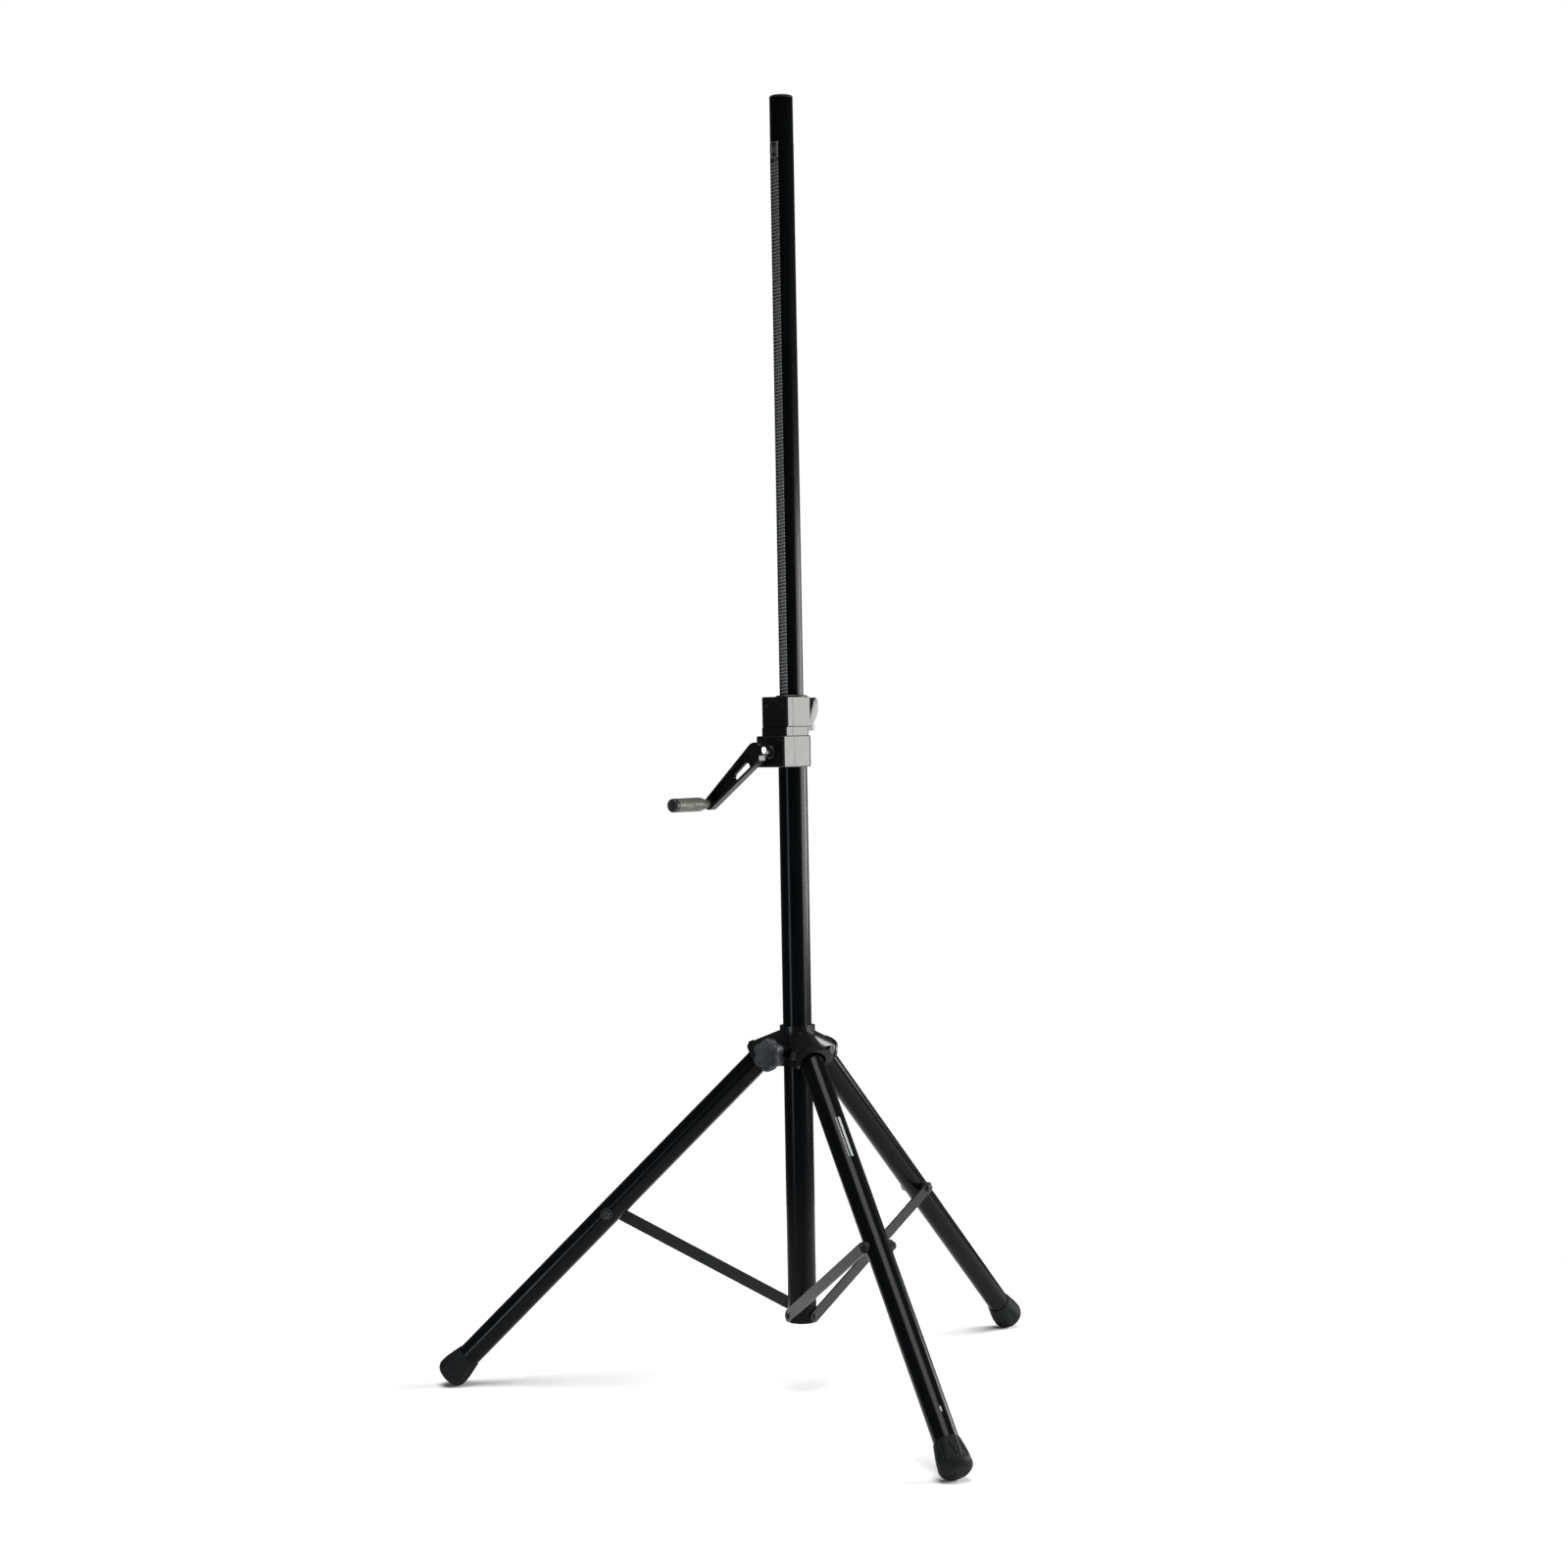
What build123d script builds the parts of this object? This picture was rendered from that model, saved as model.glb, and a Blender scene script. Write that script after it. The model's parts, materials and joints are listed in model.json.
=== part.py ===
from build123d import *
from math import acos, cos, degrees, hypot, pi, radians, sin, sqrt, tan
import os

os.makedirs("parts", exist_ok=True)

# ---------------------------------------------------------------- driving dimensions (mm)
fit = 0.06  # radial running fit of shafts, pins and bushes
gap = 0.3  # clearance between parts that only pass each other

# heights above the floor
tube_bottom = 106.5
strap_pivot_height = 116.5
leg_pivot_height = 511.5
crank_height = 961.0
tube_top = 1032.0
mast_top = 1936.0

# tubes
column_radius = 21.5
column_bore = 19.75
mast_radius = 17.75
spigot_radius = 17.5  # the top of the mast, for a 35 mm socket
spigot_bottom = 1866.0
mast_bore = 15.3
mast_bottom = 886.0
cap_thickness = 4.0
leg_radius = 18.0
leg_bore = 16.4

# legs
leg_slope = 45.2  # degrees between a leg and the column
leg_pivot_radius = 48.0
foot_radius = 24.3
foot_edge = 12.0  # roundness of the foot's rim
foot_sleeve = 36.0
strap_bolt_along_leg = 345.7
leg_end_beyond_pivot = 6.0
leg_bearings = {"left": -150.0, "right": -30.0, "rear": 90.0}

# straps
strap_width = 18.0
strap_thickness = 3.0
strap_offset = column_radius + gap

# rack, pinion and worm
tooth_module = 1.6
tooth_pitch = pi * tooth_module
pressure_angle = 20.0
pinion_teeth = 14
pinion_pitch_radius = tooth_module * pinion_teeth / 2
worm_pitch_radius = 7.0
addendum = 1.25
pinion_addendum = 1.4
dedendum = 1.9
pinion_tooth = 2.2  # tooth thicknesses on the pitch line, with some backlash
rack_tooth = 2.3
worm_tooth = 2.2
rack_width = 12.0
pinion_width = 11.2
worm_lead_angle = degrees(tooth_pitch / (2 * pi * worm_pitch_radius))

# drive housing
seam = -28.0  # the two castings meet here, on the pinion shaft's axis
block_bottom = 938.5
block_top = 985.0
neck_top = 998.0
housing_top = 1043.0
ring_top = 1045.2
block_front = -53.0
collar_front = -41.2
bush_bottom = 1007.0
collar_screw_height = 1030.0
collar_screw_side = 15.0

# crank
crank_radius = 117.8
crank_drop_angle = 39.9  # degrees below the left-hand side
arm_back = -77.0
arm_thickness = 14.0
arm_web = 5.0
shaft_in_arm = 12.0  # the bore for the shaft stops short of the arm's front
grip_start = -91.6
grip_end = -173.0

# lock lever
lever_depth = 31.0  # its pivot, behind the column's axis
lever_height = 997.0
lever_half_width = 11.0
cam_throw = 0.5
ear_inside = lever_half_width + 0.4
ear_thickness = 3.0
ear_radius = 5.2
lever_pin_radius = 3.0
shoe_width = 12.0
shoe_height = 9.6

# ---------------------------------------------------------------- derived places
pinion_height = crank_height + pinion_pitch_radius + worm_pitch_radius
rack_pitch_line = seam + pinion_pitch_radius
# a foot is widest, and its rim's centre line lies, at the end of leg_length
foot_centre_height = foot_edge + (foot_radius - foot_edge) * sin(radians(leg_slope))
leg_length = (leg_pivot_height - foot_centre_height) / cos(radians(leg_slope))
foot_ring_radius = leg_pivot_radius + leg_length * sin(radians(leg_slope))


def foot_reach(angle):
    """How far a foot reaches from its centre, level, at an angle from its leg's bearing."""
    tilt = sin(radians(leg_slope)) * cos(radians(angle))
    return foot_edge + (foot_radius - foot_edge) * sqrt(1 - tilt**2)


# the floor box of the three feet is centred on the origin, so the column stands off it
rear_reach = foot_ring_radius + foot_reach(0)
front_reach = foot_ring_radius * sin(radians(30)) + foot_reach(60)
column_y = (front_reach - rear_reach) / 2
bolt_radius = leg_pivot_radius + strap_bolt_along_leg * sin(radians(leg_slope))
bolt_height = leg_pivot_height - strap_bolt_along_leg * cos(radians(leg_slope))
strap_length = sqrt(bolt_radius**2 + (bolt_height - strap_pivot_height) ** 2)
strap_slope = degrees(acos((bolt_height - strap_pivot_height) / strap_length))
grip_x = -crank_radius * cos(radians(crank_drop_angle))
grip_height = crank_height - crank_radius * sin(radians(crank_drop_angle))


# ---------------------------------------------------------------- planes
def level(height):
    """Horizontal plane centred on the column."""
    return Plane((0, column_y, height))


def facing(y):
    """Upright plane facing the crank side: sketch x is X and sketch y is the height."""
    return Plane(origin=(0, column_y + y, 0), x_dir=(1, 0, 0), z_dir=(0, -1, 0))


def across(x):
    """Upright plane facing +X: sketch x runs front to back and sketch y is the height."""
    return Plane(origin=(x, column_y, 0), x_dir=(0, 1, 0), z_dir=(1, 0, 0))


def leg_side(bearing, distance=0.0):
    """Upright plane through a leg's axis, moved towards its strap side.
    Sketch x is the distance from the column's axis and sketch y is the height."""
    outward = Vector(cos(radians(bearing)), sin(radians(bearing)), 0)
    normal = Vector(outward.Y, -outward.X, 0)
    return Plane(origin=Vector(0, column_y, 0) + normal * distance, x_dir=outward, z_dir=normal)


def leg_section(bearing, along, turn=0.0):
    """Plane square to a leg's axis, at a distance down the leg from its pivot."""
    side = leg_side(bearing)
    axis = side.x_dir * sin(radians(leg_slope)) - Vector(0, 0, 1) * cos(radians(leg_slope))
    pivot = side.origin + side.x_dir * leg_pivot_radius + Vector(0, 0, leg_pivot_height)
    return Plane(origin=pivot + axis * along, x_dir=side.z_dir, z_dir=axis).rotated((0, 0, turn))


def end_face(piece, direction):
    """The face furthest along a direction."""
    return piece.faces().sort_by(Axis((0, 0, 0), direction))[-1]


def save(piece, name):
    piece.part.label = name
    export_step(piece.part, f"parts/{name}.step")


# ---------------------------------------------------------------- outlines used more than once
def housing_outline(half_width, front, side_end, back_radius):
    """Flat front with rounded corners, straight sides as far back as side_end, and a round back."""
    with BuildSketch() as outline:
        with BuildLine():
            Line((-half_width, side_end), (-half_width, front))
            Line((-half_width, front), (half_width, front))
            Line((half_width, front), (half_width, side_end))
            ThreePointArc((half_width, side_end), (0, back_radius), (-half_width, side_end))
        make_face()
        fillet(outline.vertices().group_by(Axis.Y)[0], 2.4)
    return outline.sketch


def storey(bottom, top, half_width, front, side_end, back_radius, rim):
    """One storey of the housing, its upper and lower edges chamfered by rim."""
    with BuildPart() as piece:
        with BuildSketch(level(bottom)):
            add(housing_outline(half_width, front, side_end, back_radius))
        extrude(amount=top - bottom)
        if rim:
            flats = piece.faces().sort_by(Axis.Z)
            chamfer(flats[0].edges() + flats[-1].edges(), rim)
        # half of a shallow groove along the seam, on both sides
        with BuildSketch(level(bottom)):
            with Locations((-half_width, seam), (half_width, seam)):
                Rectangle(1.0, 0.6)
        extrude(amount=top - bottom, mode=Mode.SUBTRACT)
    return piece.part


def housing_body(back, front):
    """Block, neck and collar of the housing, stacked, between two depths."""
    with BuildPart() as body:
        add(storey(block_bottom, block_top, 26.5, block_front, 8.0, 26.5, 1.2))
        add(storey(block_top, neck_top, 23.6, -43.6, 8.0, 23.6, 0))
        add(storey(neck_top, housing_top, 24.6, collar_front, 12.0, 25.7, 1.2))
        with BuildSketch(level(block_bottom)):
            with Locations((0, (back + front) / 2)):
                Rectangle(80, abs(front - back))
        extrude(amount=housing_top - block_bottom, mode=Mode.INTERSECT)
    return body.part


def drive_cavity():
    """Space for the pinion, its bushes, the worm and the crank bush."""
    with BuildPart() as cavity:
        with BuildSketch(across(0)):
            with Locations((seam, pinion_height)):
                Circle(pinion_pitch_radius + pinion_addendum + 0.6)
        extrude(amount=7.2, both=True)
        with BuildSketch(across(0)):
            with Locations((seam, pinion_height)):
                Circle(6.0)
        extrude(amount=21.0, both=True)
        with BuildSketch(facing(-column_radius)):
            with Locations((0, crank_height)):
                Circle(worm_pitch_radius + addendum + 0.75)
        extrude(amount=18.8)
        with BuildSketch(facing(-column_radius)):
            with Locations((0, crank_height)):
                Circle(8.5)
        extrude(amount=40)
    return cavity.part


def gear_outline():
    """Involute pinion with a gap pointing along +x."""
    base = pinion_pitch_radius * cos(radians(pressure_angle))
    root = pinion_pitch_radius - dedendum
    tip = pinion_pitch_radius + pinion_addendum
    involute_at_pitch = tan(radians(pressure_angle)) - radians(pressure_angle)

    def half_angle(radius):
        roll = acos(base / radius)
        return pinion_tooth / (2 * pinion_pitch_radius) + involute_at_pitch - tan(roll) + roll

    radii = [base + (tip - base) * step / 4 for step in range(5)]
    flank = [(root - 0.4, half_angle(base)), *((r, half_angle(r)) for r in radii)]
    tooth = [(r * cos(a), r * sin(a)) for r, a in flank]
    with BuildSketch() as outline:
        Circle(root)
        with PolarLocations(0, pinion_teeth, start_angle=180 / pinion_teeth):
            Polygon(*tooth, *((x, -y) for x, y in reversed(tooth)), align=None)
    return outline.sketch


# ================================================================ column
with BuildPart() as main_tube:
    with BuildSketch(level(tube_bottom)):
        Circle(column_radius)
        Circle(column_bore, mode=Mode.SUBTRACT)
    extrude(amount=tube_top - tube_bottom)
    # window for the pinion
    with BuildSketch(facing(-12)):
        with Locations((0, pinion_height)):
            Rectangle(15, 27)
    extrude(amount=15, mode=Mode.SUBTRACT)
    # window for the brake shoe
    with BuildSketch(facing(25)):
        with Locations((0, lever_height)):
            Rectangle(shoe_width + 2 * gap, shoe_height + 2 * gap)
    extrude(amount=15, mode=Mode.SUBTRACT)
    for bearing in leg_bearings.values():
        with BuildSketch(leg_side(bearing, 10)):
            with Locations((0, strap_pivot_height)):
                Circle(3)
        extrude(amount=15, mode=Mode.SUBTRACT)
save(main_tube, "main_tube")

with BuildPart() as tube_bottom_plug:
    with BuildSketch(level(tube_bottom)):
        Circle(column_bore)
        Circle(4, mode=Mode.SUBTRACT)
    extrude(amount=4)
save(tube_bottom_plug, "tube_bottom_plug")

for name, bearing in leg_bearings.items():
    with BuildPart() as strap_rivet:
        with BuildSketch(leg_side(bearing, column_bore - 2.6)):
            with Locations((0, strap_pivot_height)):
                Circle(4)
        extrude(amount=1.9)
        with BuildSketch(leg_side(bearing, column_bore - 2)):
            with Locations((0, strap_pivot_height)):
                Circle(3)
        extrude(amount=strap_offset + strap_thickness + gap - column_bore + 2)
        with BuildSketch(leg_side(bearing, strap_offset + strap_thickness + gap)):
            with Locations((0, strap_pivot_height)):
                Circle(5)
        extrude(amount=2.2)
        fillet(end_face(strap_rivet, leg_side(bearing).z_dir).edges(), 1.8)
    save(strap_rivet, f"strap_rivet_{name}")

with BuildPart() as housing_rear:
    add(housing_body(40, seam))
    # ears of the lock lever
    for x in (-ear_inside - ear_thickness, ear_inside):
        with BuildSketch(across(x)):
            with BuildLine():
                Polyline(
                    (14, lever_height - ear_radius),
                    (lever_depth, lever_height - ear_radius),
                    (lever_depth, lever_height + ear_radius),
                    (14, lever_height + 12),
                    close=True,
                )
            make_face()
            with Locations((lever_depth, lever_height)):
                Circle(ear_radius)
                Circle(lever_pin_radius, mode=Mode.SUBTRACT)
        extrude(amount=ear_thickness)
    with BuildSketch(level(block_bottom)):
        Circle(column_radius)
    extrude(amount=housing_top - block_bottom, mode=Mode.SUBTRACT)
    # window for the brake shoe
    with BuildSketch(facing(30)):
        with Locations((0, lever_height)):
            Rectangle(shoe_width + 2 * gap, shoe_height + 2 * gap)
    extrude(amount=20, mode=Mode.SUBTRACT)
    add(drive_cavity(), mode=Mode.SUBTRACT)
save(housing_rear, "housing_rear")

with BuildPart() as housing_front:
    add(housing_body(seam, -60))
    add(drive_cavity(), mode=Mode.SUBTRACT)
    # sinks for the two collar screws
    for radius, depth in ((3, 2), (1.5, 13)):
        with BuildSketch(facing(collar_front)):
            with Locations(
                (-collar_screw_side, collar_screw_height), (collar_screw_side, collar_screw_height)
            ):
                Circle(radius)
        extrude(amount=-depth, mode=Mode.SUBTRACT)
save(housing_front, "housing_front")

for name, x in (("left", -collar_screw_side), ("right", collar_screw_side)):
    with BuildPart() as housing_screw:
        with BuildSketch(facing(collar_front + 2)):
            with Locations((x, collar_screw_height)):
                Circle(3)
                RegularPolygon(1.4, 6, mode=Mode.SUBTRACT)
        extrude(amount=1.8)
        with BuildSketch(facing(collar_front + 2)):
            with Locations((x, collar_screw_height)):
                Circle(1.5)
        extrude(amount=-11)
    save(housing_screw, f"housing_screw_{name}")

with BuildPart() as mast_bush:
    for bottom, top, radius in (
        (bush_bottom, tube_top, column_bore),
        (tube_top, housing_top, column_radius),
        (housing_top, ring_top, 23.4),
    ):
        with BuildSketch(level(bottom)):
            Circle(radius)
        extrude(amount=top - bottom)
    chamfer(mast_bush.faces().sort_by(Axis.Z)[-1].edges(), 1.2)
    rack_slot_front = rack_pitch_line - addendum - 0.5
    with BuildSketch(level(bush_bottom)):
        Circle(mast_radius + fit)
        with Locations((0, rack_slot_front / 2)):
            Rectangle(rack_width + 1, -rack_slot_front)
    extrude(amount=ring_top - bush_bottom, mode=Mode.SUBTRACT)
save(mast_bush, "mast_bush")

bush_back = -40.4
with BuildPart() as crank_bush:
    with BuildSketch(facing(bush_back)):
        with Locations((0, crank_height)):
            Circle(8.5)
    extrude(amount=bush_back - block_front)
    with BuildSketch(facing(block_front)):
        with Locations((0, crank_height)):
            Circle(10)
    extrude(amount=4)
    chamfer(crank_bush.faces().sort_by(Axis.Y)[0].edges(), 1.2)
    with BuildSketch(facing(bush_back)):
        with Locations((0, crank_height)):
            Circle(5 + fit)
    extrude(amount=17, mode=Mode.SUBTRACT)
save(crank_bush, "crank_bush")

for name, x in (("left", -21.0), ("right", 7.2)):
    with BuildPart() as pinion_bush:
        with BuildSketch(across(x)):
            with Locations((seam, pinion_height)):
                Circle(6)
                Circle(4 + fit, mode=Mode.SUBTRACT)
        extrude(amount=13.8)
    save(pinion_bush, f"pinion_bush_{name}")

ear_outside = ear_inside + ear_thickness
pin_head = 0.6
with BuildPart() as lever_pin:
    with BuildSketch(across(-ear_outside)):
        with Locations((lever_depth, lever_height)):
            Circle(lever_pin_radius)
    extrude(amount=2 * ear_outside)
    for x in (-ear_outside - pin_head, ear_outside):
        with BuildSketch(across(x)):
            with Locations((lever_depth, lever_height)):
                Circle(3.6)
        extrude(amount=pin_head)
save(lever_pin, "lever_pin")

# ================================================================ mast
rack_back = -sqrt(mast_bore**2 - 64)
rack_root = rack_pitch_line + dedendum
rack_bottom = 920.0
rack_top = spigot_bottom
teeth_top = 1840.0
plate_front = -mast_radius - 0.5
rack_screw_heights = {"lower": 1847.0, "upper": 1862.0}
rack_screw_length = 7.0

with BuildPart() as mast_tube:
    for bottom, top, radius in (
        (mast_bottom, spigot_bottom, mast_radius),
        (spigot_bottom, mast_top - cap_thickness, spigot_radius),
    ):
        with BuildSketch(level(bottom)):
            Circle(radius)
            Circle(mast_bore, mode=Mode.SUBTRACT)
        extrude(amount=top - bottom)
    with BuildSketch(facing(-8)):
        with Locations((0, (rack_bottom + rack_top) / 2)):
            Rectangle(rack_width, rack_top - rack_bottom)
    extrude(amount=12, mode=Mode.SUBTRACT)
save(mast_tube, "mast_tube")

half_tip = rack_tooth / 2 - addendum * tan(radians(pressure_angle))
half_root = rack_tooth / 2 + dedendum * tan(radians(pressure_angle))
slant = tan(radians(worm_lead_angle))
with BuildPart() as rack:
    # flange behind the mast's wall and bar in its slot
    with BuildSketch(level(rack_bottom)):
        with Locations((0, (rack_back + rack_root) / 2 + 0.6)):
            Rectangle(rack_width, rack_back - rack_root + 1.2)
        with Locations((0, rack_back + 1.1)):
            Rectangle(16, 2.2)
    extrude(amount=rack_top - rack_bottom)
    # smooth plate above the teeth
    with BuildSketch(level(teeth_top + 2)):
        with Locations((0, plate_front + 2.7)):
            Rectangle(rack_width, 5.4)
    extrude(amount=rack_top - teeth_top - 2)
    # slanted teeth, one of them centred on the pinion
    below = int((pinion_height - rack_bottom - 4) / tooth_pitch)
    above = int((teeth_top - 3 - pinion_height) / tooth_pitch)
    with BuildSketch(across(-rack_width / 2)):
        for tooth in range(-below, above + 1):
            middle = pinion_height + tooth * tooth_pitch - slant * rack_width / 2
            with BuildLine():
                Polyline(
                    (rack_root + 0.5, middle - half_root),
                    (rack_root, middle - half_root),
                    (rack_pitch_line - addendum, middle - half_tip),
                    (rack_pitch_line - addendum, middle + half_tip),
                    (rack_root, middle + half_root),
                    (rack_root + 0.5, middle + half_root),
                    close=True,
                )
            make_face()
    extrude(amount=rack_width / cos(radians(worm_lead_angle)), dir=(1, 0, slant))
    with BuildSketch(facing(plate_front)):
        with Locations(*((0, height) for height in rack_screw_heights.values())):
            Circle(2)
    extrude(amount=-rack_screw_length, mode=Mode.SUBTRACT)
save(rack, "rack")

for name, height in rack_screw_heights.items():
    with BuildPart() as rack_screw:
        with BuildSketch(facing(plate_front)):
            with Locations((0, height)):
                Circle(3.4)
        extrude(amount=2)
        fillet(rack_screw.faces().sort_by(Axis.Y)[0].edges(), 1.2)
        with BuildSketch(facing(plate_front)):
            with Locations((0, height)):
                Circle(2)
        extrude(amount=-rack_screw_length)
    save(rack_screw, f"rack_screw_{name}")

with BuildPart() as mast_cap:
    with BuildSketch(level(mast_top - cap_thickness)):
        Circle(spigot_radius)
    extrude(amount=cap_thickness)
    fillet(mast_cap.faces().sort_by(Axis.Z)[-1].edges(), 2.2)
    with BuildSketch(level(mast_top - cap_thickness)):
        Circle(mast_bore)
        Circle(mast_bore - 2.5, mode=Mode.SUBTRACT)
    extrude(amount=-12)
save(mast_cap, "mast_cap")

with BuildPart() as mast_foot_bush:
    with BuildSketch(level(mast_bottom)):
        Circle(column_bore - fit)
        Circle(mast_radius, mode=Mode.SUBTRACT)
    extrude(amount=30)
    with BuildSketch(level(mast_bottom - 3)):
        Circle(column_bore - fit)
        Circle(12, mode=Mode.SUBTRACT)
    extrude(amount=3)
save(mast_foot_bush, "mast_foot_bush")

# ================================================================ drive
with BuildPart() as pinion_shaft:
    with BuildSketch(across(-20.5)):
        with Locations((seam, pinion_height)):
            Circle(4)
    extrude(amount=41)
save(pinion_shaft, "pinion_shaft")

twist = degrees(slant * pinion_width / 2 / pinion_pitch_radius)
with BuildPart() as drive_pinion:
    for x, turn in ((-pinion_width / 2, -twist), (pinion_width / 2, twist)):
        middle = Plane(
            origin=(x, column_y + seam, pinion_height),
            x_dir=(0, cos(radians(turn)), sin(radians(turn))),
            z_dir=(1, 0, 0),
        )
        with BuildSketch(middle):
            add(gear_outline())
    loft(ruled=True)
    with BuildSketch(across(-pinion_width / 2)):
        with Locations((seam, pinion_height)):
            Circle(4)
    extrude(amount=pinion_width, mode=Mode.SUBTRACT)
save(drive_pinion, "drive_pinion")

worm_back = -22.6
worm_front = -39.4
worm_root = worm_pitch_radius - dedendum
# the thread starts below the shaft, so that half a turn on a gap lies under the pinion's axis
thread_start = seam + tooth_pitch
with BuildPart() as worm:
    with BuildSketch(facing(worm_back)):
        with Locations((0, crank_height)):
            Circle(worm_root)
    extrude(amount=worm_back - worm_front)
    with BuildLine() as thread_path:
        start = Vector(0, column_y + thread_start, crank_height)
        Helix(tooth_pitch, 2.8 * tooth_pitch, worm_root, center=start, direction=(0, -1, 0))
    thread = thread_path.edges()[0]
    section = Plane(origin=thread @ 0, x_dir=(0, 0, -1), z_dir=thread % 0)
    rise = tan(radians(pressure_angle))
    at_tip = worm_tooth / 2 - addendum * rise
    at_root = worm_tooth / 2 + dedendum * rise
    with BuildSketch(section):
        with BuildLine():
            Polyline(
                (-0.4, -at_root),
                (0, -at_root),
                (dedendum + addendum, -at_tip),
                (dedendum + addendum, at_tip),
                (0, at_root),
                (-0.4, at_root),
                close=True,
            )
        make_face()
    sweep(path=thread, is_frenet=True)
    # the thread is cut square behind, clear of the main tube
    with BuildSketch(facing(worm_back)):
        with Locations((0, crank_height)):
            Circle(12)
    extrude(amount=-6, mode=Mode.SUBTRACT)
    with BuildSketch(facing(worm_back)):
        with Locations((0, crank_height)):
            Circle(3.5)
    extrude(amount=worm_back - worm_front, mode=Mode.SUBTRACT)
save(worm, "worm")

with BuildPart() as crank_shaft:
    for back, front, radius in (
        (worm_back, worm_front, 3.5),
        (worm_front, arm_back - shaft_in_arm, 5),
    ):
        with BuildSketch(facing(back)):
            with Locations((0, crank_height)):
                Circle(radius)
        extrude(amount=back - front)
    with BuildSketch(facing(-57.4)):
        with Locations((0, crank_height)):
            Circle(7)
            Circle(5, mode=Mode.SUBTRACT)
    extrude(amount=3)
    chamfer(crank_shaft.faces().sort_by(Axis.Y)[0].edges(), 0.8)
save(crank_shaft, "crank_shaft")

# ================================================================ crank
arm_plane = Plane(
    origin=(0, column_y + arm_back, crank_height),
    x_dir=(-cos(radians(crank_drop_angle)), 0, -sin(radians(crank_drop_angle))),
    z_dir=(0, -1, 0),
)
arm_front_plane = arm_plane.offset(arm_thickness)
arm_hub = 14.0
clamp_depth = arm_back - 7.4
clamp_height = crank_height + 3.5
clamp_head = 7.8
lug_flat = 9.6  # the flat under the clamping screw, to the right of the shaft
with BuildPart() as crank_arm:
    with BuildSketch(arm_plane):
        Circle(15.2)
        with Locations((crank_radius, 0)):
            Circle(9)
        make_hull()
    extrude(amount=arm_thickness)
    fillet(crank_arm.faces().sort_by(Axis.Y)[0].edges(), 1.5)
    # channel between the rims, with its web pierced by a slot
    with BuildSketch(arm_front_plane):
        with Locations((19, 0)):
            Circle(11)
        with Locations((crank_radius - 15, 0)):
            Circle(6.2)
        make_hull()
    extrude(amount=arm_web - arm_thickness, mode=Mode.SUBTRACT)
    with BuildSketch(arm_plane):
        with Locations((42, 2.2)):
            SlotOverall(36, 11.5)
    extrude(amount=arm_thickness, mode=Mode.SUBTRACT)
    # hub towards the housing
    with BuildSketch(arm_plane):
        Circle(10)
    extrude(amount=-arm_hub)
    with BuildSketch(arm_plane.offset(-arm_hub)):
        Circle(5)
    extrude(amount=arm_hub + shaft_in_arm, mode=Mode.SUBTRACT)
    with BuildSketch(arm_plane):
        with Locations((crank_radius, 0)):
            Circle(4)
    extrude(amount=arm_thickness, mode=Mode.SUBTRACT)
    # hole and sink of the clamping screw, from the right
    for start, radius in ((0, 2.5), (clamp_head, 5.2)):
        with BuildSketch(across(start)):
            with Locations((clamp_depth, clamp_height)):
                Circle(radius)
        extrude(amount=20, mode=Mode.SUBTRACT)
    with BuildSketch(across(lug_flat)):
        with Locations((arm_back - arm_thickness / 2, crank_height - 12)):
            Rectangle(arm_thickness + 2, 15)
    extrude(amount=10, mode=Mode.SUBTRACT)
save(crank_arm, "crank_arm")

with BuildPart() as crank_screw:
    with BuildSketch(across(5)):
        with Locations((clamp_depth, clamp_height)):
            Circle(2.5)
    extrude(amount=clamp_head - 5)
    with BuildSketch(across(clamp_head)):
        with Locations((clamp_depth, clamp_height)):
            Circle(4.8)
    extrude(amount=6)
    chamfer(crank_screw.faces().sort_by(Axis.X)[-1].edges(), 0.6)
    with BuildSketch(across(clamp_head + 6)):
        with Locations((clamp_depth, clamp_height)):
            RegularPolygon(2.6, 6)
    extrude(amount=-3, mode=Mode.SUBTRACT)
save(crank_screw, "crank_screw")

with BuildPart() as grip_pin:
    with BuildSketch(arm_plane):
        with Locations((crank_radius, 0)):
            Circle(4)
    extrude(amount=82)
    with BuildSketch(arm_plane):
        with Locations((crank_radius, 0)):
            Circle(5.6)
    extrude(amount=-1.6)
save(grip_pin, "grip_pin")

grip_axis = Axis((grip_x, column_y, grip_height), (0, -1, 0))
grip_plane = Plane(
    origin=(grip_x, column_y, grip_height), x_dir=(0, -1, 0), z_dir=(1, 0, 0)
)
cap_start = -grip_end - 7
with BuildPart() as crank_grip:
    with BuildSketch(grip_plane):
        with BuildLine():
            Line((-grip_start, 0), (-grip_start, -6.2))
            Spline((-grip_start, -6.2), (101, -7.8), (113, -10.4), tangents=((1, 0), (1, 0)))
            Line((113, -10.4), (cap_start - 1, -10.2))
            Line((cap_start - 1, -10.2), (cap_start - 1, 0))
            Line((cap_start - 1, 0), (-grip_start, 0))
        make_face()
    revolve(axis=grip_axis)
    with BuildSketch(Plane(origin=grip_axis.position, x_dir=(1, 0, 0), z_dir=(0, -1, 0))):
        Circle(4 + fit)
    extrude(amount=cap_start + 3, mode=Mode.SUBTRACT)
save(crank_grip, "crank_grip")

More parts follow.
